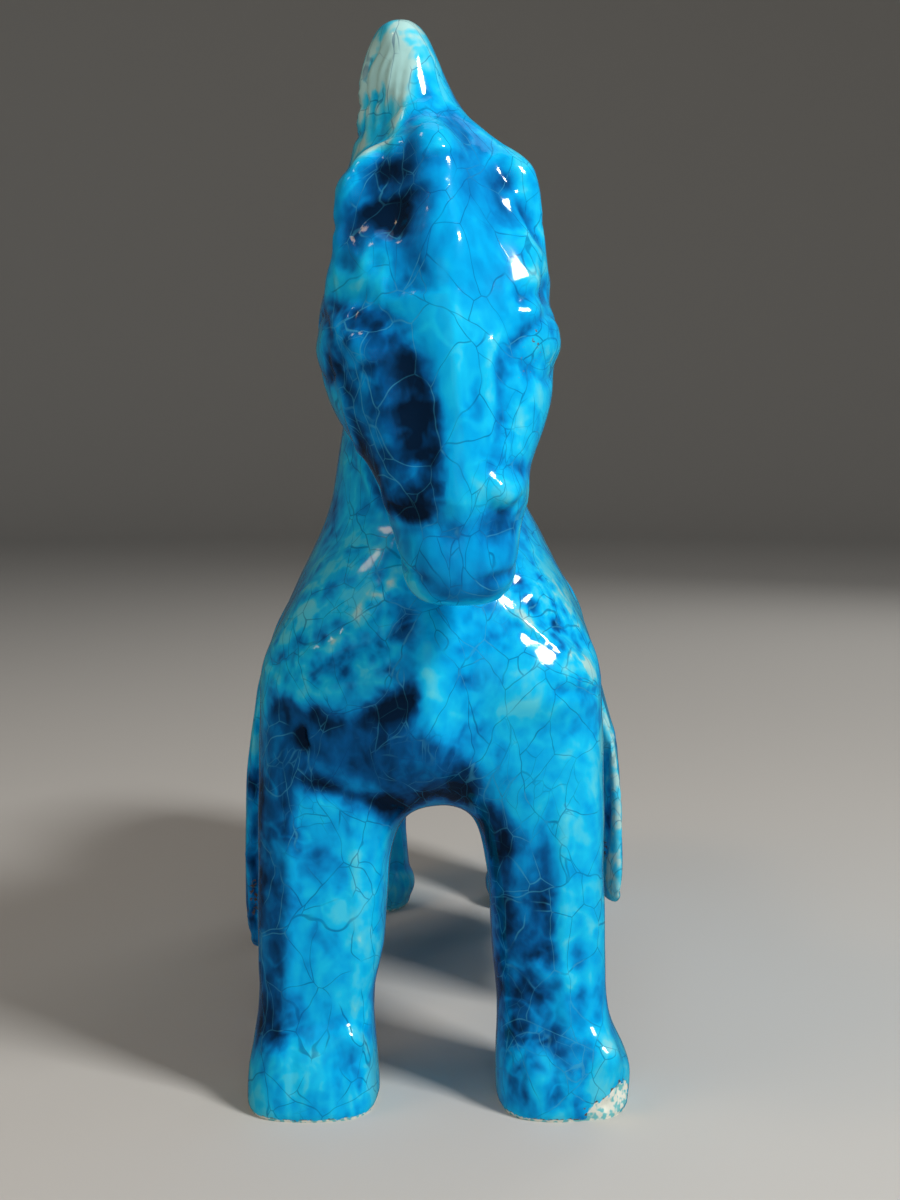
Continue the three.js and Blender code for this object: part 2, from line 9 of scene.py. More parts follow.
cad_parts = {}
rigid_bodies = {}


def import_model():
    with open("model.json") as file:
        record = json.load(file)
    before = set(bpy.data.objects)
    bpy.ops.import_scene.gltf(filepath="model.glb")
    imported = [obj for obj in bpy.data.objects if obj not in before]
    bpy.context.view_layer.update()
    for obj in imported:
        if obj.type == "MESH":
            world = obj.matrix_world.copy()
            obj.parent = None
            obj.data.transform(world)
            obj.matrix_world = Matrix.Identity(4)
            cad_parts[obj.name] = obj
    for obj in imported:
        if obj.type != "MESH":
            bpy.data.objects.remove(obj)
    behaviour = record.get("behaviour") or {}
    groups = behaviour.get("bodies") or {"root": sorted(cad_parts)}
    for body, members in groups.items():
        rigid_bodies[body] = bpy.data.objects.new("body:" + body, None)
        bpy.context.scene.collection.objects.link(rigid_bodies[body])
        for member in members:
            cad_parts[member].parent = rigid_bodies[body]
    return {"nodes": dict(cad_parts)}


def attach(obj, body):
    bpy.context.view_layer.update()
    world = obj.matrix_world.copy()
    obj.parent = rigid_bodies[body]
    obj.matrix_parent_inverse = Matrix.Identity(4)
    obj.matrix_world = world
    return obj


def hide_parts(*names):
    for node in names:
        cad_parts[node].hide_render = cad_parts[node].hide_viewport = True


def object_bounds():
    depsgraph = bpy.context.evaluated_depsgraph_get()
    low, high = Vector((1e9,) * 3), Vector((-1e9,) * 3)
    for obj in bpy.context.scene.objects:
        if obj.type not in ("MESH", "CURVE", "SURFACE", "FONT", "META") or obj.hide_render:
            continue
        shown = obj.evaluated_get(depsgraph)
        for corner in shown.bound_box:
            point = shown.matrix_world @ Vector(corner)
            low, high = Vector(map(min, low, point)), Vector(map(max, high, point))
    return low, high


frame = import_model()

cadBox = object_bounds()
mm = 0.001

# The view that the horse is seen from: its paths for sculpting and glazing are drawn in this picture,
# 900 pixels wide and 1200 high, and cast from it onto the figure.
view = {
    "place": (0.003223, -0.4803, 0.1703),
    "lookDown": math.radians(6.28),
    "across": 900,
    "high": 1200,
    "focus": 1663,
    "sensor": 36,
    "mmPerPixel": 0.23,
}

# Lights, and the point that they look at. The ones that aren't mirrored only lift the shade.
target = Vector((0, -0.05, 0.14))
lights = {
    "windowLight": {"place": (0.664, -0.569, 0.847), "size": 0.24, "watts": 11.5, "tone": "#ffffff",
                    "mirrored": True},
    "warmLamp": {"place": (-0.5, -0.28, 0.9), "size": 0.13, "watts": 0.38, "tone": "#ffd8a8",
                 "mirrored": True},
    "warmWall": {"place": (-0.6, -0.3, 0.8), "size": 0.5, "watts": 1.3, "tone": "#ffe6cc",
                 "mirrored": False},
    "roomLight": {"place": (-0.05, -1.15, 0.35), "size": 0.6, "watts": 2.8, "tone": "#f6faff",
                  "mirrored": False},
    "backLight": {"place": (0.5, 0.9, 0.6), "size": 0.4, "watts": 1.6, "tone": "#ffffff",
                  "mirrored": False},
    "ceilingLight": {"place": (0.1, 0.3, 1.7), "size": 1.2, "watts": 2, "tone": "#f4f7ff",
                     "mirrored": True},
}


def pixelRay(u, v):
    sideways = (u - view["across"] / 2) / view["focus"]
    upwards = -(v - view["high"] / 2) / view["focus"]
    cosine, sine = math.cos(view["lookDown"]), math.sin(view["lookDown"])
    ray = Vector((sideways, cosine + upwards * sine, -sine + upwards * cosine))
    return Vector(view["place"]), ray.normalized()


# Casting directions for the sides that the picture doesn't show. Their paths are in millimetres: y and z
# on the right and left, x and z behind, x and y on top.
def rayFrom(seenFrom, a, b):
    far = 0.4
    if seenFrom == "picture":
        return pixelRay(a, b)
    if seenFrom == "right":
        return Vector((-far, a * mm, b * mm)), Vector((1, 0, 0))
    if seenFrom == "left":
        return Vector((far, a * mm, b * mm)), Vector((-1, 0, 0))
    if seenFrom == "behind":
        return Vector((a * mm, far, b * mm)), Vector((0, -1, 0))
    return Vector((a * mm, b * mm, far)), Vector((0, 0, -1))


def deselect():
    if bpy.context.object and bpy.context.object.mode != "OBJECT":
        bpy.ops.object.mode_set(mode="OBJECT")
    bpy.ops.object.select_all(action="DESELECT")


def pick(piece):
    deselect()
    piece.select_set(True)
    bpy.context.view_layer.objects.active = piece


def modify(piece, kind, **settings):
    pick(piece)
    bpy.ops.object.modifier_add(type=kind)
    modifier = piece.modifiers[-1]
    for name, value in settings.items():
        setattr(modifier, name, value)
    bpy.ops.object.modifier_apply(modifier=modifier.name)


def places(piece):
    flat = np.empty(len(piece.data.vertices) * 3, np.float32)
    piece.data.vertices.foreach_get("co", flat)
    return flat.reshape(-1, 3).astype(float)


def outward(piece):
    flat = np.empty(len(piece.data.vertices) * 3, np.float32)
    piece.data.vertex_normals.foreach_get("vector", flat)
    return flat.reshape(-1, 3).astype(float)


def moveTo(piece, points):
    piece.data.vertices.foreach_set("co", points.astype(np.float32).ravel())
    piece.data.update()


# A smooth curve through a few points, with a point about every step.
def smoothPath(path, step):
    p = np.array(path, float)
    if len(p) < 2:
        return p
    p = np.vstack([2 * p[0] - p[1], p, 2 * p[-1] - p[-2]])
    out = []
    for i in range(1, len(p) - 2):
        count = max(int(np.linalg.norm(p[i + 1] - p[i]) / step), 1)
        for t in np.arange(count) / count:
            out.append(0.5 * (2 * p[i] + (p[i + 1] - p[i - 1]) * t
                              + (2 * p[i - 1] - 5 * p[i] + 4 * p[i + 1] - p[i + 2]) * t * t
                              + (3 * p[i] - p[i - 1] - 3 * p[i + 1] + p[i + 2]) * t ** 3))
    out.append(p[-2])
    return np.array(out)


# Where a path lies on the figure: its points and the way that the surface faces there.
def castPath(tree, seenFrom, path, wide):
    perUnit = view["mmPerPixel"] if seenFrom == "picture" else 1
    points, facings = [], []
    for a, b in smoothPath(path, max(wide * 0.4, 0.35) / perUnit):
        origin, ray = rayFrom(seenFrom, a, b)
        hit, normal, _, _ = tree.ray_cast(origin, ray)
        if hit is not None:
            points.append(hit)
            facings.append(normal)
    return np.array(points), np.array(facings)


# The brush: how far it is felt, in its own radii, how soon it fades round a corner, and how it lifts at both
# ends of its path.
touch = {
    "felt": 2.3,
    "cornering": 2.2,
    "lifting": 6,
    "atTheEnd": 0.25,
}


# How strongly a path touches each vertex: a soft round brush, wide mm in radius.
def brush(tree, skin, normals, seenFrom, path, wide, lift=True):
    points, facings = castPath(tree, seenFrom, path, wide)
    if not len(points):
        return np.array([], int), np.array([])
    reach = wide * touch["felt"] * mm
    near = np.all((skin > points.min(0) - reach) & (skin < points.max(0) + reach), axis=1)
    index = np.nonzero(near)[0]
    if not len(index):
        return index, np.array([])
    away = ((skin[index][:, None, :] - points[None]) ** 2).sum(2)
    closest = away.argmin(1)
    falloff = np.exp(-away[np.arange(len(index)), closest] / (wide * mm) ** 2)
    facing = np.clip((normals[index] * facings[closest]).sum(1) * touch["cornering"], 0, 1)
    if lift and len(points) > 4:
        along = closest / (len(points) - 1)
        falloff *= np.clip(np.minimum(along, 1 - along) * touch["lifting"] + touch["atTheEnd"], 0, 1)
    return index, falloff * facing


# Casting body: the figure's own form, merged, made smooth, and run on a little below the soles. The grain is
# the finest lump of clay that is kept, in mm.
figure = {
    "solePull": 8,
    "grain": 0.9,
    "faces": 196000,
    "soleEdge": 1.6,
    "soleRound": 0.8,
    "smoothAngle": 50,
}

# Full forms that are pressed onto the body before it is made one skin: place, half sizes and lean in degrees.
fullForms = {
    "hindRightHoof": {"place": (-26.4, 93, 7.5), "half": (17.4, 18, 11), "lean": 0},
    "hindLeftHoof": {"place": (33, 93, 7.5), "half": (17.4, 18, 11), "lean": 0},
    "pommel": {"place": (-0.4, -14.8, 149), "half": (15.5, 4.8, 16.5), "lean": -7},
    "cantle": {"place": (0.6, 32.2, 149.5), "half": (18.5, 5, 18.5), "lean": 16},
}


def pressOn(body, name, form):
    deselect()
    bpy.ops.mesh.primitive_uv_sphere_add(segments=48, ring_count=24, radius=mm,
                                         location=[c * mm for c in form["place"]])
    lump = bpy.context.object
    lump.name = name
    bpy.ops.object.mode_set(mode="EDIT")
    bpy.ops.transform.resize(value=form["half"])
    bpy.ops.transform.rotate(value=math.radians(form["lean"]), orient_axis="X",
                             center_override=[c * mm for c in form["place"]])
    bpy.ops.object.mode_set(mode="OBJECT")
    bpy.ops.object.select_all(action="DESELECT")
    lump.select_set(True)
    body.select_set(True)
    bpy.context.view_layer.objects.active = body
    bpy.ops.object.join()


def castBody():
    source = frame["nodes"]["horse"]
    body = bpy.data.objects.new("ceramicHorse", source.data.copy())
    bpy.context.scene.collection.objects.link(body)
    pick(body)
    bpy.ops.object.mode_set(mode="EDIT")
    bpy.ops.mesh.select_all(action="SELECT")
    bpy.ops.mesh.remove_doubles(threshold=0.00001)
    bpy.ops.mesh.normals_make_consistent(inside=False)
    bpy.ops.mesh.tris_convert_to_quads(face_threshold=math.radians(30), shape_threshold=math.radians(40))
    bpy.ops.object.mode_set(mode="OBJECT")
    skin = places(body)
    skin[skin[:, 2] < 0.4 * mm, 2] -= figure["solePull"] * mm
    moveTo(body, skin)
    modify(body, "SUBSURF", levels=2, render_levels=2)
    for name, form in fullForms.items():
        pressOn(body, name, form)
    return body


horse = castBody()
print("cast body:", len(horse.data.polygons), "faces")

modify(horse, "REMESH", mode="VOXEL", voxel_size=figure["grain"] * mm, adaptivity=0)
modify(horse, "SMOOTH", factor=0.5, iterations=6)
print("clay skin:", len(horse.data.polygons), "faces")


def edgesOf(piece):
    ends = np.empty(len(piece.data.edges) * 2, np.int32)
    piece.data.edges.foreach_get("vertices", ends)
    return ends.reshape(-1, 2)


# Each round moves every vertex's values most of the way to the mean of its neighbours.
def soften(values, edges, count, rounds):
    total = np.bincount(edges.ravel(), minlength=count)
    total[total == 0] = 1
    for _ in range(rounds):
        across = np.empty_like(values)
        for axis in range(values.shape[1]):
            here = values[:, axis]
            across[:, axis] = (np.bincount(edges[:, 0], here[edges[:, 1]], count)
                               + np.bincount(edges[:, 1], here[edges[:, 0]], count)) / total
        values = 0.4 * values + 0.6 * across
    return values


def treeOf(piece):
    return BVHTree.FromObject(piece, bpy.context.evaluated_depsgraph_get())


# Creases that were filled with clay and stroked smooth: a path, its radius in mm, and how much is filled.
filling = {
    "rounds": 120,
    "passes": 2,
    "firmness": 1.6,
}
filledCreases = [
    ([(366, 122), (390, 108), (412, 100), (436, 104), (462, 124), (490, 142)], 8.0, 1.0),
    ([(400, 120), (420, 118), (446, 128)], 9.0, 1.0),
]


def fillCreases(piece):
    for _ in range(filling["passes"]):
        tree = treeOf(piece)
        skin, normals = places(piece), outward(piece)
        smooth = soften(skin, edgesOf(piece), len(skin), filling["rounds"])
        missing = np.clip(((smooth - skin) * normals).sum(1), 0, None)
        fill = np.zeros(len(skin))
        for path, wide, share in filledCreases:
            index, weight = brush(tree, skin, normals, "picture", path, wide, lift=False)
            held = share * np.clip(weight * filling["firmness"], 0, 1)
            fill[index] = np.maximum(fill[index], held * missing[index])
        moveTo(piece, skin + normals * fill[:, None])


fillCreases(horse)

# Relief cut and pressed into the clay. Each mark is a path on the figure, its radius and its height in mm,
# cut in where the height is negative.
faceMarks = [
    ([(410, 98), (424, 125), (438, 160)], 6.0, 1.2),
    ([(410, 94), (402, 118), (396, 142)], 2.6, 0.8),
    ([(384, 110), (374, 146)], 3.5, -0.6),
    ([(417, 100), (434, 146)], 3.4, 0.4),
    ([(400, 185), (410, 240), (414, 300)], 7.0, -1.1),
    ([(450, 300), (457, 377), (462, 430)], 1.5, 0.45),
    ([(498, 331), (488, 369), (488, 446)], 1.5, 0.6),
    ([(345, 312), (388, 327), (412, 361), (424, 408), (428, 485), (412, 520)], 6.5, -1.4),
    ([(392, 400), (404, 470)], 6.5, -0.8),
    ([(512, 335), (506, 380), (506, 445)], 3.0, -0.6),
    ([(350, 330), (358, 372)], 6.0, 0.9),
    ([(326, 318), (345, 303), (372, 305), (392, 324)], 2.6, -0.5),
    ([(336, 386), (356, 400), (380, 392)], 2.6, -0.4),
    ([(526, 310), (532, 324)], 6.0, 1.1),
    ([(556, 290), (532, 294), (510, 302)], 2.2, -0.8),
    ([(531, 272), (533, 288)], 4.0, 0.9),
    ([(545, 352), (520, 372)], 2.6, -0.4),
    ([(329, 308), (342, 392), (363, 465), (381, 515)], 1.6, 0.7),
    ([(504, 190), (527, 238), (548, 265)], 2.0, 0.7),
    ([(504, 168), (514, 196), (540, 240)], 1.8, -0.7),
    ([(492, 145), (530, 180), (541, 225)], 3.4, 0.7),
    ([(396, 192), (382, 215), (364, 238), (350, 250)], 5.0, -0.45),
    ([(408, 142), (372, 152), (352, 173)], 1.7, 1.1),
    ([(352, 173), (336, 215), (336, 250)], 2.4, 0.7),
    ([(330, 258), (352, 266), (384, 262)], 2.0, -0.8),
    ([(332, 288), (358, 280), (388, 282)], 4.0, 0.7),
    ([(388, 528), (450, 520), (506, 512)], 4.2, -0.5),
    ([(500, 488), (509, 494)], 3.6, 1.5),
    ([(514, 500), (520, 486)], 3.0, 0.7),
    ([(508, 464), (527, 470)], 2.0, -0.8),
    ([(386, 500), (396, 512)], 3.2, 0.8),
    ([(492, 508), (502, 512)], 1.8, -0.6),
    ([(418, 582), (460, 590), (504, 576)], 1.3, -0.35),
]
for out in range(5):
    left = 361 + 9 * out
    faceMarks.append(([(left + 20 - 2 * out, 42), (left + 4, 75), (left, 138 - 5 * out)], 1.0, -0.7))

breastMarks = [
    ([(262, 694), (290, 708), (330, 714), (370, 708), (423, 694)], 4.2, -1.0),
    ([(270, 672), (300, 684), (350, 686), (410, 678)], 4.0, 0.5),
    ([(398, 572), (362, 612), (330, 648), (283, 673)], 2.0, 0.6),
    ([(528, 606), (556, 622), (592, 650)], 2.8, -0.8),
    ([(519, 612), (532, 624), (556, 642), (592, 668)], 2.2, 0.55),
    ([(612, 705), (616, 780), (617, 850)], 1.8, 0.8),
    ([(606, 740), (608, 800), (607, 850)], 1.4, -0.6),
    ([(604, 846), (606, 856)], 1.2, -1.2),
    ([(252, 885), (256, 896)], 1.3, -1.0),
    ([(255, 904), (253, 914)], 1.1, -0.8),
    ([(552, 690), (600, 693)], 1.5, -0.8),
    ([(427, 605), (430, 680), (440, 760)], 3.5, 0.6),
    ([(301, 728), (303, 740), (307, 750)], 1.0, -1.8),
    ([(314, 704), (312, 722)], 1.2, -0.6),
    ([(306, 783), (350, 797), (410, 812)], 2.6, -0.8),
    ([(290, 820), (288, 940), (288, 1020)], 2.0, 0.6),
    ([(566, 800), (563, 900), (562, 980), (572, 1040)], 2.2, 0.9),
    ([(356, 830), (357, 950), (353, 1025)], 1.6, 0.5),
    ([(262, 1042), (300, 1030), (350, 1022), (374, 1034)], 2.6, -0.6),
    ([(504, 1040), (560, 1030), (606, 1020)], 2.6, -0.5),
    ([(348, 1036), (354, 1044)], 3.0, 1.0),
    ([(272, 1052), (278, 1060)], 3.2, 0.6),
    ([(594, 1042), (602, 1056)], 5.6, 1.5),
    ([(290, 1078), (345, 1080)], 6.0, 0.7),
    ([(520, 1078), (585, 1080)], 6.0, 0.7),
    ([(335, 1060), (340, 1112)], 1.8, -0.5),
    ([(300, 1064), (296, 1112)], 1.8, -0.4),
    ([(555, 1066), (560, 1112)], 1.8, -0.4),
    ([(539, 968), (545, 974)], 2.2, 0.7),
    ([(566, 978), (572, 984)], 2.2, 0.7),
]
for step in range(9):
    breastMarks.append(([(268 + 15 * step, 668 - 6 * step), (271 + 15 * step, 671 - 6 * step)], 1.5, 0.7))
    breastMarks.append(([(276 + 15 * step, 682 - 4 * step), (279 + 15 * step, 686 - 4 * step)], 1.4, 0.5))
for step in range(6):
    breastMarks.append(([(520 + 12 * step, 618 + 10 * step), (523 + 12 * step, 622 + 10 * step)], 1.5, 0.6))


# Mane: the crest of the neck from its foot to the poll, in y and z, and locks that lie aslant from it.
mane = {
    "crest": [(-14.3, 148), (-20.3, 168), (-27.3, 188), (-36.3, 206), (-46.3, 223), (-57.3, 238),
              (-66.3, 247)],
    "locks": 12,
    "pitch": 9.5,
    "slant": 0.55,
    "length": 20,
}


def besideCrest(place, away):
    crest = np.array(mane["crest"])
    steps = np.linalg.norm(np.diff(crest, axis=0), axis=1)
    runs = np.concatenate([[0], np.cumsum(steps)])
    i = min(max(int(np.searchsorted(runs, place)) - 1, 0), len(steps) - 1)
    way = (crest[i + 1] - crest[i]) / steps[i]
    at = crest[i] + way * (place - runs[i])
    return tuple(at + np.array([-way[1], way[0]]) * away)


maneMarks = []
for lock in range(mane["locks"]):
    for offset, wide, high in ((0, 1.2, -1.0), (0.3, 0.6, -0.4), (0.62, 0.6, -0.4)):
        start = (lock + 0.5 + offset) * mane["pitch"]
        path = [besideCrest(start + mane["slant"] * away + 0.02 * away * away, away)
                for away in (0.5, 6, 12, mane["length"] - 6 * offset)]
        maneMarks.append(("right", path, wide, high))
        maneMarks.append(("left", [besideCrest(start, 0.5), besideCrest(start + 2, 4.5)], wide, 0.7 * high))
maneMarks.append(("left", [besideCrest(place, 5.5) for place in range(2, 118, 12)], 1.2, -0.7))

# Both sides of the head, the saddle with its skirt, the cloth with its border, the quarters and the tail.
clothFoot = {"right": 22, "left": 35}
tailMiddle = 3.2
tailSpread = [(2.4, 138), (3.4, 118), (3.6, 98), (2.0, 82)]
sideMarks = []
for side in ("right", "left"):
    sideMarks += [
        (side, [(-80, 212), (-71, 192), (-77, 168), (-92, 154)], 2.6, -1.0),
        (side, [(-112, 185), (-106, 191.5), (-98, 193), (-91, 188)], 1.0, -0.7),
        (side, [(-111, 182), (-104, 178.5), (-95, 181)], 1.0, -0.5),
        (side, [(-104, 185.5), (-99, 185.5)], 3.4, 0.7),
        (side, [(-120, 135), (-111, 137), (-102, 143)], 1.0, -0.8),
        (side, [(-117, 149), (-113, 153)], 1.6, -1.0),
        (side, [(-24, 130), (-22, 113), (-8, 105), (14, 104), (29, 109), (35, 122), (37, 132)], 1.6, -0.9),
        (side, [(-6, 122), (4, 112), (18, 112)], 7.0, 0.8),
        (side, [(58, 122), (72, 104), (80, 84)], 3.5, -0.7),
        (side, [(50, 92), (58, 80), (72, 72)], 2.6, -0.8),
        (side, [(104, 30), (108, 42)], 3.0, 0.7),
    ]
    foot = clothFoot[side]
    sideMarks.append((side, [(-33, 112), (-33, foot + 12), (-31, foot + 6), (-25, foot + 4), (5, foot + 4),
                             (33, foot + 4), (39, foot + 6), (41, foot + 12), (41, 112)], 1.0, -0.8))
for strand in (-1.5, -0.5, 0.5, 1.5):
    path = [(tailMiddle + spread * strand, level) for spread, level in tailSpread]
    sideMarks.append(("behind", path, 0.9, -0.8))
sideMarks += [
    ("behind", [(-7, 121), (3.2, 119), (13, 121)], 1.2, -0.9),
    ("behind", [(-7, 115), (3.2, 113), (13, 115)], 1.2, -0.9),
    ("behind", [(-14, 146), (-9, 159), (1, 164), (11, 159), (16, 146)], 1.1, -0.8),
    ("behind", [(-26, 66), (-26, 58)], 4.0, 1.2),
    ("behind", [(33, 66), (33, 58)], 4.0, 1.2),
]

# All marks add up to one rise of the skin along its normals.
tree = treeOf(horse)
skin, normals = places(horse), outward(horse)
rise = np.zeros(len(skin))
pictureMarks = [("picture", *mark) for mark in faceMarks + breastMarks]
for seenFrom, path, wide, high in pictureMarks + maneMarks + sideMarks:
    index, weight = brush(tree, skin, normals, seenFrom, path, wide)
    rise[index] += high * mm * weight

# Chip: the toe of the left fore hoof is broken off in crumbs, down to the clay. Its paths have their radius
# and depth in mm.
crumbGrain = 2.2
chips = [
    ([(600, 1112), (612, 1104), (621, 1092)], 4.0, 1.6),
    ([(572, 1122), (592, 1120)], 2.0, 0.7),
]
for path, wide, deep in chips:
    index, weight = brush(tree, skin, normals, "picture", path, wide, lift=False)
    crumbs = np.array([0.5 + abs(noise.noise(Vector(p) / (crumbGrain * mm))) for p in skin[index]])
    rise[index] -= deep * mm * weight * crumbs

# Slip and glaze left the surface gently uneven: the size and height of its waves in mm.
waves = [(24, 0.35), (11, 0.22), (5.5, 0.08)]
for size, high in waves:
    rise += high * mm * np.array([noise.noise(Vector(p) / (size * mm)) for p in skin])
skin = skin + normals * rise[:, None]
edge = np.clip(1 - skin[:, 2] / (figure["soleEdge"] * mm), 0, 1) ** 2 * figure["soleRound"] * mm
skin[:, :2] -= normals[:, :2] * edge[:, None]
moveTo(horse, skin)
modify(horse, "SMOOTH", factor=0.4, iterations=2)

# Small swellings that catch a light: the picture place of the glint, its light and the radius in mm. Each is
# as high as it takes to turn the skin there half way between the light and the eye.
glints = [
    (524, 275, "windowLight", 3.6),
    (527, 311, "windowLight", 3.2),
    (499, 484, "windowLight", 3.2),
    (518, 190, "windowLight", 2.6),
    (541, 654, "windowLight", 2.6),
    (524, 638, "windowLight", 2.2),
    (603, 1050, "windowLight", 4.0),
    (352, 1036, "windowLight", 2.4),
    (398, 147, "warmLamp", 2.4),
    (380, 152, "warmLamp", 2.4),
    (362, 163, "warmLamp", 2.4),
    (365, 257, "warmLamp", 2.0),
]
# Places where the skin turns away instead, because the broad glint there would be too bright.
dulled = [
    (511, 590, "windowLight", 3.8),
    (444, 165, "windowLight", 3.0),
    (453, 233, "windowLight", 3.0),
    (388, 213, "warmLamp", 3.0),
    (400, 234, "warmLamp", 3.0),
]
glintTurn = {
    "steepest": 0.45,  # a skin that has to turn more than this is left as it is
    "dulledBy": 0.25,
    "swellSlope": 0.858,  # the steepest slope of a swelling as high as it is wide
    "patch": 1.6,
}


def unit(way):
    return way / np.linalg.norm(way)


def swellToCatch(piece):
    tree = treeOf(piece)
    skin, normals = places(piece), outward(piece)
    rise = np.zeros(len(skin))
    for across, down, lamp, wide in glints + dulled:
        origin, ray = pixelRay(across, down)
        hit = tree.ray_cast(origin, ray)[0]
        if hit is None:
            continue
        spot = np.array(hit)
        near = ((skin - spot) ** 2).sum(1) < (glintTurn["patch"] * mm) ** 2
        facing = unit(normals[near].mean(0))
        middle = unit(unit(np.array(lights[lamp]["place"]) - spot) + unit(np.array(origin) - spot))
        turn = middle - facing * (middle @ facing)
        tilt = np.linalg.norm(turn)
        if (across, down, lamp, wide) in dulled:
            tilt = tilt - glintTurn["dulledBy"]
        if tilt > glintTurn["steepest"]:
            continue
        centre = spot - unit(turn) * wide * mm / math.sqrt(2)
        high = tilt * wide * mm / glintTurn["swellSlope"]
        alike = np.clip((normals @ facing) * touch["cornering"], 0, 1)
        rise += high * alike * np.exp(-((skin - centre) ** 2).sum(1) / (wide * mm) ** 2)
    moveTo(piece, skin + normals * rise[:, None])


swellToCatch(horse)
print("relief cut")


def flattenSoles(piece):
    pick(piece)
    bpy.ops.object.mode_set(mode="EDIT")
    bpy.ops.mesh.select_all(action="SELECT")
    bpy.ops.mesh.bisect(plane_co=(0, 0, 0), plane_no=(0, 0, 1), clear_inner=True, use_fill=True)
    bpy.ops.mesh.select_all(action="SELECT")
    bpy.ops.mesh.quads_convert_to_tris()
    bpy.ops.object.mode_set(mode="OBJECT")


# The soles stand on the ground, and nothing reaches past the CAD's box.
def keepInBox(piece):
    low, high = (np.array(corner) for corner in cadBox)
    moveTo(piece, np.clip(places(piece), low, high))


flattenSoles(horse)
modify(horse, "DECIMATE", ratio=figure["faces"] / len(horse.data.polygons))
keepInBox(horse)
pick(horse)
bpy.ops.object.shade_smooth_by_angle(angle=math.radians(figure["smoothAngle"]))
print("figure:", len(horse.data.polygons), "faces")

# Where the glaze ran deep and thin: deep in the hollows, thin on ridges and edges, and where the strokes
# and zones below put more or less of it. Some strokes paint shade and highlights into the glaze instead,
# as their notes say.
glazePoolsAndPaintedLight = [
    ([(396, 192), (374, 226), (352, 252)], 3.6, 0.12),
    ([(384, 182), (386, 204)], 1.8, -0.35),
    ([(336, 300), (362, 296), (386, 300)], 2.4, -0.25),
    ([(334, 312), (350, 312), (372, 318)], 3.0, 0.1),
    ([(434, 500), (400, 506), (388, 496)], 3.6, 0.4),
    # painted highlight: a pale dab in the dark left hollow
    ([(388, 440), (372, 444)], 1.8, -0.45),
    ([(418, 470), (420, 478)], 1.6, -0.4),
    ([(466, 504), (480, 500)], 2.2, -0.35),
    # deeper glaze and painted shade along the muzzle's lower rim
    ([(416, 560), (430, 588), (470, 597), (505, 584)], 2.6, 0.4),
    # deeper glaze and painted shade in the crease under the breast, then painted shade at the top of the arch
    # between the fore legs and down the inner side of the right fore leg
    ([(278, 700), (330, 706), (410, 696)], 3.5, 0.2),
    ([(440, 790), (480, 795)], 4.0, 0.4),
    ([(488, 800), (496, 880), (502, 960), (504, 1030)], 4.0, 0.3),
    ([(400, 56), (402, 30)], 8.0, -0.5),
    ([(404, 40), (409, 90)], 1.6, -0.4),
    ([(454, 290), (458, 340), (460, 380)], 1.6, -0.3),
    ([(498, 331), (488, 369), (486, 400)], 1.4, -0.3),
    ([(505, 162), (524, 200), (542, 240)], 1.6, -0.4),
    ([(436, 140), (452, 148)], 2.2, -0.35),
    ([(398, 572), (362, 612), (330, 648), (283, 673)], 1.8, -0.4),
    ([(516, 596), (556, 618), (590, 646)], 2.0, 0.35),
    ([(512, 606), (533, 621), (558, 642), (592, 666)], 1.6, -0.4),
    # paler glaze down the ridges of both fore legs, partly a painted highlight
    ([(355, 840), (357, 940), (354, 1030)], 1.5, -0.1),
    ([(566, 800), (564, 900), (564, 980)], 1.6, -0.12),
    ([(541, 958), (550, 974), (541, 984), (534, 972)], 1.2, -0.5),
    ([(566, 974), (574, 984), (564, 990)], 1.1, -0.4),
    ([(266, 640), (254, 700)], 2.6, -0.5),
    # painted highlight down the right flap's front edge, where the window light glints
    ([(606, 700), (616, 760), (617, 840)], 2.0, -0.55),
]
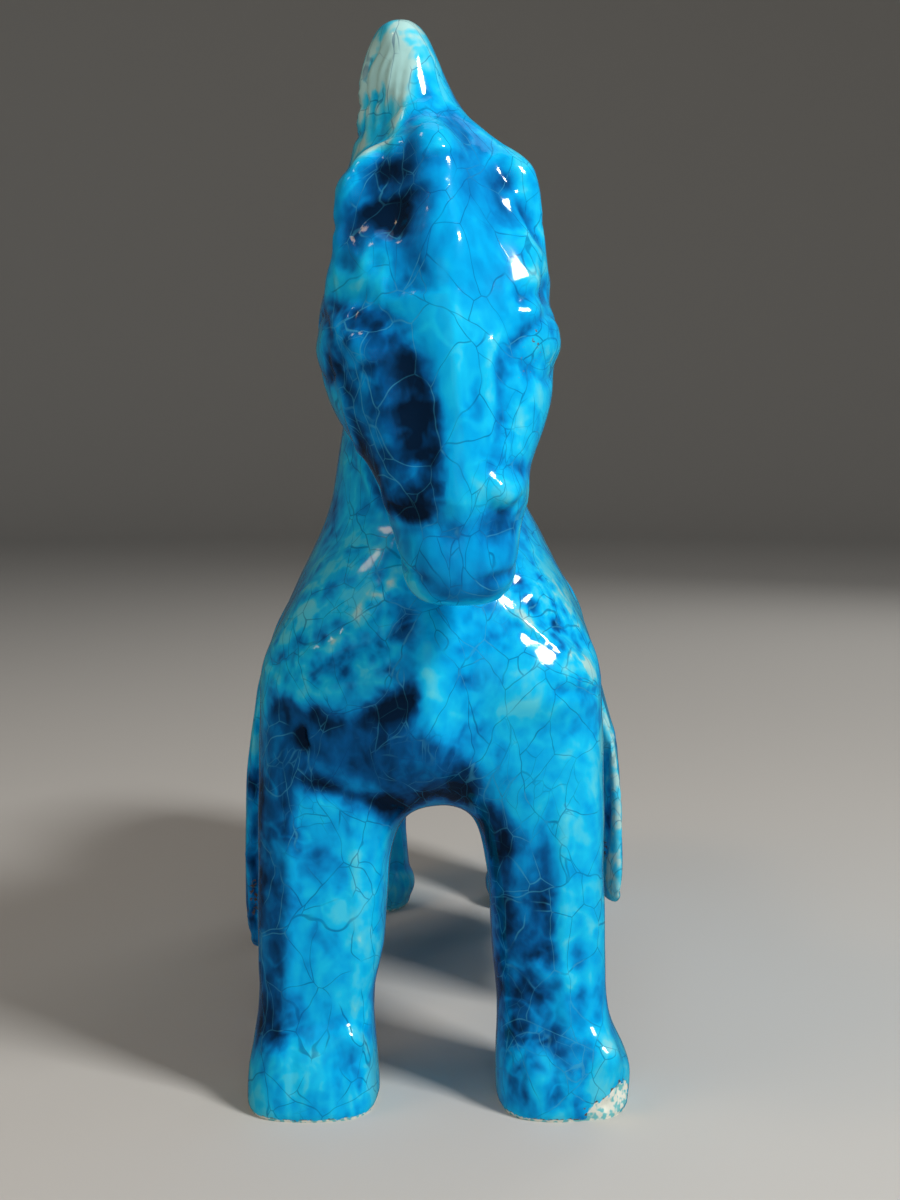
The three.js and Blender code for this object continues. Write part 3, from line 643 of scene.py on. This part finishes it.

# Zones of the picture, as outlines with an edge that is so many pixels soft: how much deeper the glaze lies
# there, and how netted it is, where it parted between small bumps. Left and right are the picture's here.
# Some zones paint shade, a cast shadow or a highlight into the glaze as deeper or thinner glaze, as their
# notes say.
glazeAndPaintedLightZones = {
    # painted shade: the upper left plane of the face, turned away from the window light, darkened as deeper
    # glaze
    "foreheadLeftPaintedShade": {"outline": [(413, 93), (434, 142), (441, 168), (444, 222), (424, 244), (396, 234),
                                 (345, 250), (332, 240), (332, 190), (352, 174), (384, 164), (396, 142)],
                     "edge": 10, "depth": 0.2, "net": 0},
    # painted shade: the left brow, on the side away from the window light, darkened with a wide soft edge
    "browLeftPaintedShade": {"outline": [(413, 110), (430, 150), (439, 200), (444, 256), (426, 276), (398, 258),
                             (345, 262), (332, 250), (332, 190), (356, 178), (392, 160)],
                 "edge": 30, "depth": 0.52, "net": 0},
    "noseSide": {"outline": [(447, 200), (470, 260), (486, 330), (482, 450), (466, 504), (452, 500),
                             (450, 390)],
                 "edge": 12, "depth": 0.12, "net": 0},
    "foreheadRight": {"outline": [(424, 100), (450, 120), (496, 150), (520, 220), (510, 300), (486, 330),
                                  (450, 250), (440, 150)],
                      "edge": 16, "depth": 0.14, "net": 0},
    "cheekRight": {"outline": [(505, 345), (544, 332), (549, 385), (532, 440), (510, 452)],
                   "edge": 14, "depth": -0.25, "net": 0.5},
    # painted shade: the left eye and cheek, on the side of the head away from the window light
    "leftEyeAndCheekPaintedShade": {"outline": [(326, 300), (372, 310), (400, 336), (420, 362), (440, 401), (448, 458),
                                    (443, 512), (420, 524), (392, 520), (368, 480), (342, 410), (322, 350)],
                        "edge": 10, "depth": 0.76, "net": 0.3},
    # deeper glaze in the hollow beside the nose, with painted shade darkening it further
    "leftHollowPoolAndShade": {"outline": [(380, 330), (402, 345), (424, 372), (439, 405), (447, 458), (441, 510),
                               (405, 514), (390, 476), (400, 436), (396, 390), (372, 345)],
                   "edge": 22, "depth": 0.24, "net": 0.15},
    "bridge": {"outline": [(402, 300), (430, 282), (457, 296), (459, 376), (448, 388), (440, 392),
                           (426, 360)],
               "edge": 5, "depth": 0.12, "net": 0},
    "muzzle": {"outline": [(396, 528), (450, 536), (524, 530), (514, 596), (440, 606), (414, 590)],
               "edge": 14, "depth": 0.36, "net": 0},
    "chinBand": {"outline": [(452, 514), (526, 510), (520, 534), (452, 540)],
                 "edge": 10, "depth": 0.3, "net": 0},
    "finLeft": {"outline": [(366, 44), (396, 36), (410, 91), (388, 144), (350, 170), (354, 100)],
                "edge": 8, "depth": -0.8, "net": 0.2},
    "breastLeft": {"outline": [(336, 520), (392, 548), (402, 585), (380, 660), (270, 684), (284, 620)],
                   "edge": 14, "depth": 0.04, "net": 0.9},
    "ledge": {"outline": [(262, 660), (420, 650), (424, 692), (262, 700)],
              "edge": 12, "depth": 0.1, "net": 0.9},
    # painted shadow: the head's cast shadow on the left of the breast
    "paintedHeadShadow": {"outline": [(388, 624), (422, 604), (425, 704), (396, 700)],
                  "edge": 12, "depth": 0.35, "net": 0.2},
    # painted shadow and shade under the breast ledge and between the fore legs, partly the head's cast shadow
    "paintedShadowUnderLedge": {"outline": [(264, 702), (330, 712), (424, 700), (440, 736), (488, 790), (440, 804),
                               (400, 816), (340, 792), (292, 780), (264, 800)],
                   "edge": 28, "depth": 0.8, "net": 0.1},
    # painted shade: the left fore leg's outer side, turned away from the window light
    "legLeftSidePaintedShade": {"outline": [(250, 770), (296, 800), (298, 850), (291, 910), (288, 1010), (276, 1040),
                                (250, 1050)],
                    "edge": 20, "depth": 0.86, "net": 0.2},
    "breastRight": {"outline": [(500, 590), (540, 560), (598, 650), (604, 700), (560, 690), (520, 640)],
                    "edge": 14, "depth": -0.06, "net": 1.1},
    # painted shade: the right fore leg's inner side, turned away from the window light, with some mottling
    "legRightInsidePaintedShade": {"outline": [(468, 796), (500, 806), (548, 850), (560, 900), (556, 1000), (530, 1036),
                                   (500, 1042), (486, 870)],
                       "edge": 18, "depth": 0.62, "net": 0.35},
    "hoofRight": {"outline": [(496, 1030), (585, 1034), (592, 1120), (500, 1114)],
                  "edge": 16, "depth": 0.6, "net": 0.5},
    "hoofLeft": {"outline": [(248, 1036), (376, 1030), (372, 1120), (248, 1120)],
                 "edge": 14, "depth": 0.2, "net": 0.5},
    # painted highlight: the right flap's front edge made pale where the window light glints on it
    "flapRightPaintedHighlight": {"outline": [(600, 686), (612, 690), (626, 790), (624, 900), (602, 894), (606, 790)],
                  "edge": 5, "depth": -0.3, "net": 1},
    "flapLeft": {"outline": [(258, 740), (246, 800), (242, 950), (262, 950), (264, 740)],
                 "edge": 8, "depth": 0.4, "net": 0.5},
}


# The picture coordinates of points on the figure.
def inPicture(points):
    away = points - np.array(view["place"])
    cosine, sine = math.cos(view["lookDown"]), math.sin(view["lookDown"])
    forward = away[:, 1] * cosine - away[:, 2] * sine
    upward = away[:, 1] * sine + away[:, 2] * cosine
    across = view["across"] / 2 + view["focus"] * away[:, 0] / forward
    down = view["high"] / 2 - view["focus"] * upward / forward
    return np.stack([across, down], 1)


# How far each vertex shows in the picture: 0 behind something or facing away, 1 facing it. What lies only a
# little behind the nearest skin, in mm, still shows.
sight = {
    "grazing": 5,
    "behind": 1.5,
}


def shownInPicture(tree, skin, normals):
    eye = Vector(view["place"])
    toEye = np.array(view["place"]) - skin
    distance = np.linalg.norm(toEye, axis=1)
    facing = (toEye * normals).sum(1) / distance
    shown = np.clip(facing * sight["grazing"], 0, 1)
    for i in np.nonzero(shown > 0)[0]:
        ray = Vector(skin[i]) - eye
        hit, _, _, reached = tree.ray_cast(eye, ray.normalized())
        if hit is not None and reached < distance[i] - sight["behind"] * mm:
            shown[i] = 0
    return shown


# How far each spot lies inside an outline: 0 outside, 1 inside, with a soft edge.
def withinOutline(spots, outline, edge):
    corners = np.array(outline, float)
    inside = np.zeros(len(spots), bool)
    nearest = np.full(len(spots), 1e6)
    for a, b in zip(corners, np.roll(corners, -1, 0)):
        along = b - a
        share = np.clip(((spots - a) @ along) / (along @ along), 0, 1)
        nearest = np.minimum(nearest, np.linalg.norm(spots - a - share[:, None] * along, axis=1))
        if a[1] != b[1]:
            crosses = (a[1] > spots[:, 1]) != (b[1] > spots[:, 1])
            inside ^= crosses & (spots[:, 0] < a[0] + (spots[:, 1] - a[1]) * along[0] / along[1])
    share = np.clip(0.5 + np.where(inside, nearest, -nearest) / edge, 0, 1)
    return share * share * (3 - 2 * share)


# Where no glaze covers the clay: round the soles up to a ragged line, in the chip and in small pits.
bareEdge = {
    "share": 1.3,
    "ragged": 0.5,
    "fade": 0.7,
    "grain": 2.5,
    "firmness": 1.8,
}
barePlaces = [
    ([(600, 1114), (612, 1106), (621, 1094)], 3.0, 0.9),
    ([(572, 1124), (592, 1121)], 1.6, 0.8),
    ([(253, 884), (256, 912)], 1.2, 0.4),
    ([(605, 842), (606, 858)], 1.0, 0.4),
    ([(536, 335), (538, 352), (533, 372)], 1.5, 0.2),
    ([(524, 350), (522, 378)], 1.2, 0.2),
]


def bareClay(tree, skin, normals):
    ragged = np.array([noise.noise(Vector(p) / (bareEdge["grain"] * mm)) for p in skin])
    level = skin[:, 2] / mm - bareEdge["ragged"] * ragged
    bare = np.clip(bareEdge["share"] - level / bareEdge["fade"], 0, 1)
    for path, wide, share in barePlaces:
        index, weight = brush(tree, skin, normals, "picture", path, wide, lift=False)
        worn = share * np.clip(weight * bareEdge["firmness"], 0, 1)
        bare[index] = np.maximum(bare[index], worn)
    return bare


# How the glaze lies: rounds of softening that find hollows of one size, how deep in mm a full one is, and
# how much deeper or thinner it makes the glaze; then how much paler the glaze is where the skin faces up, how
# netted it is outside the zones, and the waves that the zones' edges wander in: their size in mm, and their
# seed.
flowing = {
    "hollows": [(6, 0.06, 0.14, 0.16), (30, 0.3, 0.22, 0.12), (140, 0.9, 0.3, 0.1)],
    "paleFacingUp": 0.12,
    "net": 0.4,
    "waves": 9,
    "seed": 10,
}


# Lays the glaze on the skin, and paints shade, shadows and highlights into its depth from the zones and
# strokes.
def layGlazeAndPaintedLight(piece):
    mesh = piece.data
    skin, normals = places(piece), outward(piece)
    edges = edgesOf(piece)
    depth = np.zeros(len(skin))
    smooth, done = skin, 0
    for rounds, reach, deep, pale in flowing["hollows"]:
        smooth = soften(smooth, edges, len(skin), rounds - done)
        done = rounds
        hollow = np.tanh(((smooth - skin) * normals).sum(1) / mm / reach)
        depth += np.where(hollow > 0, deep * hollow, pale * hollow)
    # paler where the skin faces up
    depth -= flowing["paleFacingUp"] * np.clip(normals[:, 2], 0, 1)
    tree = treeOf(piece)
    shown = shownInPicture(tree, skin, normals)
    spots = inPicture(skin)
    noise.seed_set(flowing["seed"])  # or the edges would wander another way in each run
    wander = np.array([noise.noise_vector(Vector(p) / (flowing["waves"] * mm))[:2] for p in skin])
    net = np.full(len(skin), flowing["net"])
    # zones and strokes add real glaze depth and painted shade, shadows and highlights alike
    for zone in glazeAndPaintedLightZones.values():
        weight = shown * withinOutline(spots + wander * zone["edge"], zone["outline"], zone["edge"])
        depth += zone["depth"] * weight
        net = net * (1 - weight) + zone["net"] * weight
    for path, wide, more in glazePoolsAndPaintedLight:
        index, weight = brush(tree, skin, normals, "picture", path, wide)
        depth[index] += more * weight
    depth = soften(depth[:, None], edges, len(skin), 3)[:, 0]
    net = soften(net[:, None], edges, len(skin), 4)[:, 0]
    bare = bareClay(tree, skin, normals)
    # the glaze depth carries painted shade, shadows and highlights from the zones and strokes too
    for name, values in (("glazeDepthAndPaintedLight", depth), ("glazeNet", net), ("bareClay", bare)):
        mesh.attributes.new(name, "FLOAT", "POINT").data.foreach_set("value", values.astype(np.float32))


layGlazeAndPaintedLight(horse)
print("glaze laid")


def linear(hexColour):
    channels = [int(hexColour[i:i + 2], 16) / 255 for i in (1, 3, 5)]
    return tuple(c / 12.92 if c <= 0.04045 else ((c + 0.055) / 1.055) ** 2.4 for c in channels) + (1,)


# Adds a node of a kind: what it knows as a setting is set, and the rest goes to its inputs, by name or by
# number, as in0. It gives one of the node's outputs.
def addNode(tree, kind, out=0, **given):
    node = tree.nodes.new("ShaderNode" + kind)
    for name, value in given.items():
        key = int(name[2:]) if name[2:].isdigit() else name.replace("_", " ")
        if hasattr(node, name):
            setattr(node, name, value)
        elif isinstance(value, bpy.types.NodeSocket):
            tree.links.new(value, node.inputs[key])
        else:
            node.inputs[key].default_value = value
    return node.outputs[out] if node.outputs else node


glaze = {
    "bands": [(0.0, "#a9d6d2"), (0.13, "#52cde4"), (0.28, "#14bfec"), (0.44, "#03a7e4"),
              (0.6, "#0384c8"), (0.76, "#035490"), (0.9, "#023058"), (1.0, "#021a33")],
    "usualDepth": 0.52,
    "poolShare": 0.5,
    "calm": 0.55,
    "crackLine": "#033f7a",
    "crackPale": "#3d9fc4",
    "crackShown": 0.54,
    "crackDrowned": 0.12,
    "clay": "#dfe0d2",
    "crumb": "#6fbfc2",
    "pit": "#54453a",
    "largeCell": 26,
    "middleCell": 9,
    "fineCell": 4.6,
    "lineHalf": 0.085,  # real crazing is about half as wide: drawn as coarse as it needs to show
    "dimple": 4.6,
    "hoofStreaks": (14, 32),
    "roughness": 0.1,
    "clayRoughness": 0.85,
    "ior": 1.5,
    "specular": 0.45,
    "bump": 0.15,
    "bumpHeight": 0.5,
}

# Cloudy patterns in the glaze: the size of their patches in mm, then detail, roughness and distortion.
clouds = {
    "wideWarp": (24, 1, 0.5, 0),
    "smallWarp": (6, 1, 0.5, 0),
    "fineWhere": (26, 1, 0.5, 0),
    "middleWhere": (12, 1, 0.5, 0),
    "runWarp": (30, 1, 0.5, 0),
    "cloud": (26, 2, 0.5, 0),
    "blotch": (9, 2, 0.55, 0.5),
    "flow": (3.2, 2, 0.5, 0.4),
    "veins": (8, 1, 0.5, 0.4),
    "veinsWhere": (16, 1, 0.5, 0),
    "streaks": (7, 1, 0.5, 0),
    "bumpWarp": (5, 2, 0.5, 0),
    "paleSide": (40, 1, 0.5, 0),
    "uneven": (6, 1, 0.5, 0),
    "crumbs": (1.1, 2, 0.6, 0),
    "clayTone": (1.6, 1, 0.5, 0),
    "ripple": (7, 2, 0.5, 0),
}
mottling = {"cloud": 0.45, "blotch": 0.65, "flow": 0.38}


# Crackled turquoise glaze: an alkaline copper glaze on pale earthenware, dipped and fired. It gives the eye a
# glass-smooth skin, deep blue where it gathered in pools, pale where it ran thin, and crazed all over.
# Painted shade, shadows and highlights laid on the skin darken and pale its blue as well.
def crackledGlaze():
    material = bpy.data.materials.new("crackledTurquoiseGlaze")
    material.use_nodes = True
    t = material.node_tree
    t.nodes.clear()
    times = {"operation": "MULTIPLY"}
    plus = {"operation": "ADD"}
    minus = {"operation": "SUBTRACT"}
    eased = {"interpolation_type": "SMOOTHSTEP"}
    blend = {"data_type": "RGBA"}

    place = addNode(t, "TexCoord", "Object")
    tones, colours = {}, {}
    for name, (size, detail, rough, distortion) in clouds.items():
        tones[name] = addNode(t, "TexNoise", Vector=place, Scale=1 / (size * mm), Detail=detail,
                              Roughness=rough, Distortion=distortion)
        colours[name] = tones[name].node.outputs["Color"]

    def shifted(coords, source, size):
        centred = addNode(t, "VectorMath", in0=source, in1=(0.5, 0.5, 0.5), **minus)
        sized = addNode(t, "VectorMath", operation="SCALE", in0=centred, Scale=size * mm)
        return addNode(t, "VectorMath", in0=coords, in1=sized, **plus)

    def cracks(coords, cell, lineHalf):
        across = 1 / (cell * mm)
        edge = addNode(t, "TexVoronoi", "Distance", feature="DISTANCE_TO_EDGE", Vector=coords, Scale=across)
        cellTone = addNode(t, "TexVoronoi", "Color", feature="F1", Vector=coords, Scale=across)
        line = addNode(t, "MapRange", Value=edge, From_Min=0.4 * lineHalf / cell,
                       From_Max=1.8 * lineHalf / cell, To_Min=1.0, To_Max=0.0, **eased)
        return line, cellTone

    # large cells split into middle ones and, in places, into fine ones, each set shifted by the one before
    drawn = addNode(t, "Mapping", Vector=place, Rotation=(0.2, 0.35, 0.1), Scale=(1, 1, 0.66))
    warped = shifted(shifted(drawn, colours["wideWarp"], 10), colours["smallWarp"], 1.8)
    lineHalf = glaze["lineHalf"]
    largeLine, largeTone = cracks(warped, glaze["largeCell"], lineHalf * 1.1)
    middleLine, middleTone = cracks(shifted(warped, largeTone, 60), glaze["middleCell"], lineHalf)
    fineLine, _ = cracks(shifted(warped, middleTone, 60), glaze["fineCell"], lineHalf * 0.75)
    fineWhere = addNode(t, "MapRange", Value=tones["fineWhere"], From_Min=0.52, From_Max=0.6, **eased)
    middleWhere = addNode(t, "MapRange", Value=tones["middleWhere"], From_Min=0.3, From_Max=0.42, **eased)
    middleLine = addNode(t, "Math", in0=middleLine, in1=middleWhere, **times)
    fineWhere = addNode(t, "Math", in0=fineWhere, in1=0.6, **times)
    fineLine = addNode(t, "Math", in0=fineLine, in1=fineWhere, **times)
    cracked = addNode(t, "Math", operation="MAXIMUM", in0=middleLine, in1=fineLine)
    cracked = addNode(t, "Math", operation="MAXIMUM", in0=largeLine, in1=cracked)

    def weighed(source, share):
        centred = addNode(t, "Math", in0=source, in1=0.5, **minus)
        return addNode(t, "Math", in0=centred, in1=share, **times)

    # glaze thickness, 0 thin and pale to 1 deep, with the painted shade, shadows and highlights of the skin
    # added in
    pooledAndPaintedLight = addNode(t, "Attribute", "Fac", attribute_name="glazeDepthAndPaintedLight")
    netted = addNode(t, "Attribute", "Fac", attribute_name="glazeNet")
    run = addNode(t, "Mapping", Vector=shifted(place, colours["runWarp"], 12), Scale=(1, 1, 0.6))
    clouded = 0.0
    for name, share in mottling.items():
        t.links.new(run, tones[name].node.inputs["Vector"])
        clouded = addNode(t, "Math", in0=clouded, in1=weighed(tones[name], share), **plus)
    lively = addNode(t, "Math", in0=netted, in1=glaze["calm"], **plus)
    clouded = addNode(t, "Math", in0=clouded, in1=lively, **times)
    thickAndPaintedLight = addNode(t, "Math", in0=pooledAndPaintedLight, in1=glaze["poolShare"], **times)
    thickAndPaintedLight = addNode(t, "Math", in0=thickAndPaintedLight, in1=glaze["usualDepth"], **plus)
    thickAndPaintedLight = addNode(t, "Math", in0=thickAndPaintedLight, in1=clouded, **plus)

    def parted(source, width):
        middle = addNode(t, "Math", in0=source, in1=0.5, **minus)
        middle = addNode(t, "Math", operation="ABSOLUTE", in0=middle)
        return addNode(t, "MapRange", Value=middle, From_Min=0.0, From_Max=width, To_Min=1.0, To_Max=0.0,
                       **eased)

    # pale veins, where the glaze parted over the small bumps, and pale streaks down the hooves
    veinsWhere = addNode(t, "MapRange", Value=tones["veinsWhere"], From_Min=0.48, From_Max=0.62, **eased)
    veins = addNode(t, "Math", in0=parted(tones["veins"], 0.09), in1=veinsWhere, **times)
    upright = addNode(t, "Mapping", Vector=place, Scale=(1, 1, 0.22))
    t.links.new(upright, tones["streaks"].node.inputs["Vector"])
    height = addNode(t, "SeparateXYZ", "Z", Vector=place)
    low, high = glaze["hoofStreaks"]
    onHooves = addNode(t, "MapRange", Value=height, From_Min=low * mm, From_Max=high * mm, To_Min=1.0,
                       To_Max=0.0, **eased)
    streaks = addNode(t, "Math", in0=parted(tones["streaks"], 0.12), in1=onHooves, **times)
    # a net of pale lines round deep blue dimples, where the clay beneath is bumpy
    bumpy = shifted(place, colours["bumpWarp"], 7)
    dimples = addNode(t, "TexVoronoi", "Distance", feature="SMOOTH_F1", Vector=bumpy, Smoothness=0.35,
                      Scale=1 / (glaze["dimple"] * mm))
    dimples = addNode(t, "Math", in0=dimples, in1=0.42, **minus)
    dimples = addNode(t, "Math", in0=dimples, in1=netted, **times)
    for paler, share in ((veins, 0.1), (streaks, 0.12), (dimples, 0.55)):
        paler = addNode(t, "Math", in0=paler, in1=share, **times)
        thickAndPaintedLight = addNode(t, "Math", in0=thickAndPaintedLight, in1=paler, **minus)
    thinnest = addNode(t, "MapRange", Value=pooledAndPaintedLight, From_Min=-0.55, From_Max=-0.25, To_Min=0.0, To_Max=0.2)
    thickAndPaintedLight = addNode(t, "Math", operation="MINIMUM", in0=thickAndPaintedLight, in1=1.0)
    thickAndPaintedLight = addNode(t, "Math", operation="MAXIMUM", in0=thickAndPaintedLight, in1=thinnest)

    blue = addNode(t, "ValToRGB", Fac=thickAndPaintedLight)
    ramp = blue.node.color_ramp
    while len(ramp.elements) < len(glaze["bands"]):
        ramp.elements.new(0.5)
    for element, (at, tone) in zip(ramp.elements, glaze["bands"]):
        element.position = at
        element.color = linear(tone)

    # crack lines, dark where the glaze is thin, paler than the blue where it is deep, and lost in the pools
    paleSide = addNode(t, "Math", in0=thickAndPaintedLight, in1=weighed(tones["paleSide"], 1.2), **plus)
    paleSide = addNode(t, "MapRange", Value=paleSide, From_Min=0.5, From_Max=0.66, **eased)
    crackTone = addNode(t, "Mix", 2, Factor=paleSide, in6=linear(glaze["crackLine"]),
                        in7=linear(glaze["crackPale"]), **blend)
    drowned = addNode(t, "MapRange", Value=thickAndPaintedLight, From_Min=0.75, From_Max=1.0, To_Min=glaze["crackShown"],
                      To_Max=glaze["crackDrowned"])
    uneven = addNode(t, "MapRange", Value=tones["uneven"], From_Min=0.35, From_Max=0.6, To_Min=0.55,
                     To_Max=1.0)
    seen = addNode(t, "Math", in0=drowned, in1=uneven, **times)
    seen = addNode(t, "Math", in0=cracked, in1=seen, **times)
    crazed = addNode(t, "Mix", 2, Factor=seen, in6=blue, in7=crackTone, **blend)

    # bare clay in crumbs, with splinters of pale glaze between
    unglazed = addNode(t, "Attribute", "Fac", attribute_name="bareClay")
    crumbs = weighed(tones["crumbs"], 1.5)
    ragged = addNode(t, "Math", in0=unglazed, in1=crumbs, **plus)
    ragged = addNode(t, "MapRange", Value=ragged, From_Min=0.35, From_Max=0.55, **eased)
    within = addNode(t, "MapRange", Value=unglazed, From_Min=0.02, From_Max=0.16, **eased)
    bare = addNode(t, "Math", in0=ragged, in1=within, **times)
    splinters = addNode(t, "MapRange", Value=tones["clayTone"], From_Min=0.46, From_Max=0.6, **eased)
    clayTone = addNode(t, "Mix", 2, Factor=splinters, in6=linear(glaze["clay"]), in7=linear(glaze["crumb"]),
                       **blend)
    worn = addNode(t, "MapRange", Value=unglazed, From_Min=0.4, From_Max=0.5, **eased)
    bareTone = addNode(t, "Mix", 2, Factor=worn, in6=linear(glaze["pit"]), in7=clayTone, **blend)
    finished = addNode(t, "Mix", 2, Factor=bare, in6=crazed, in7=bareTone, **blend)
    rough = addNode(t, "MapRange", Value=bare, From_Min=0.0, From_Max=1.0, To_Min=glaze["roughness"],
                    To_Max=glaze["clayRoughness"])

    # the skin ripples a little, dips at each crack and crumbles where it is bare
    heights = addNode(t, "Math", in0=tones["ripple"], in1=0.5, **times)
    for lower in (addNode(t, "Math", in0=cracked, in1=0.08, **times),
                  addNode(t, "Math", in0=bare, in1=crumbs, **times)):
        heights = addNode(t, "Math", in0=heights, in1=lower, **minus)
    bump = addNode(t, "Bump", Strength=glaze["bump"], Distance=glaze["bumpHeight"] * mm, Height=heights)
    shader = addNode(t, "BsdfPrincipled", Base_Color=finished, Roughness=rough, IOR=glaze["ior"],
                     Specular_IOR_Level=glaze["specular"], Normal=bump)
    addNode(t, "OutputMaterial", Surface=shader)
    return material


horse.data.materials.clear()
horse.data.materials.append(crackledGlaze())
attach(horse, "root")
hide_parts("horse")
print("glazed")

# Stage: a pale round floor that rises into a cove.
stage = {
    "flat": 1.9,
    "coveRadius": 0.9,
    "coveSteps": 10,
    "wall": 1.2,
    "tone": "#c4c1bb",
    "roughness": 0.9,
    "roomTone": "#e8ecf0",
    "roomStrength": 0.06,
}


def coveFloor():
    deselect()
    bpy.ops.mesh.primitive_circle_add(vertices=128, radius=stage["flat"], fill_type="NGON")
    floor = bpy.context.object
    floor.name = "paleFloor"
    bpy.ops.object.mode_set(mode="EDIT")
    bpy.ops.mesh.select_all(action="SELECT")
    steps = stage["coveSteps"]
    radius, level = stage["flat"], 0.0
    for i in range(1, steps + 2):
        if i <= steps:
            angle = math.pi / 2 * i / steps
            nextRadius = stage["flat"] + stage["coveRadius"] * math.sin(angle)
            nextLevel = stage["coveRadius"] * (1 - math.cos(angle))
        else:
            nextRadius, nextLevel = radius, level + stage["wall"]
        bpy.ops.mesh.extrude_region_move(TRANSFORM_OT_translate={"value": (0, 0, nextLevel - level)})
        share = nextRadius / radius
        bpy.ops.transform.resize(value=(share, share, 1))
        radius, level = nextRadius, nextLevel
    bpy.ops.mesh.delete(type="ONLY_FACE")
    bpy.ops.mesh.select_all(action="SELECT")
    bpy.ops.mesh.normals_make_consistent(inside=True)
    bpy.ops.object.mode_set(mode="OBJECT")
    bpy.ops.object.shade_smooth()
    return floor


# Matt backdrop paper: it has no sheen of its own, so the eye stays on the glaze.
floor = coveFloor()
paper = bpy.data.materials.new("matPaper")
paper.use_nodes = True
paperShader = paper.node_tree.nodes["Principled BSDF"]
paperShader.inputs["Base Color"].default_value = linear(stage["tone"])
paperShader.inputs["Roughness"].default_value = stage["roughness"]
floor.data.materials.append(paper)
floor.visible_glossy = False  # the glaze mirrors the room around it, not the pale paper below

# Each light stands at its place and looks at the middle of the figure.
for name, lamp in lights.items():
    light = bpy.data.lights.new(name, "AREA")
    light.shape = "SQUARE"
    light.size = lamp["size"]
    light.energy = lamp["watts"]
    light.color = linear(lamp["tone"])[:3]
    holder = bpy.data.objects.new(name, light)
    holder.location = lamp["place"]
    holder.visible_glossy = lamp["mirrored"]
    holder.rotation_euler = (target - Vector(lamp["place"])).to_track_quat("-Z", "Y").to_euler()
    bpy.context.scene.collection.objects.link(holder)

world = bpy.data.worlds.new("softRoom")
world.use_nodes = True
background = world.node_tree.nodes["Background"]
background.inputs["Color"].default_value = linear(stage["roomTone"])
background.inputs["Strength"].default_value = stage["roomStrength"]
bpy.context.scene.world = world
bpy.context.scene.view_settings.view_transform = "Standard"

lens = bpy.data.cameras.new("pictureView")
lens.sensor_width = view["sensor"]
lens.lens = view["focus"] * view["sensor"] / view["high"]
camera = bpy.data.objects.new("pictureView", lens)
camera.location = view["place"]
camera.rotation_euler = (math.pi / 2 - view["lookDown"], 0, 0)
bpy.context.scene.collection.objects.link(camera)
bpy.context.scene.camera = camera
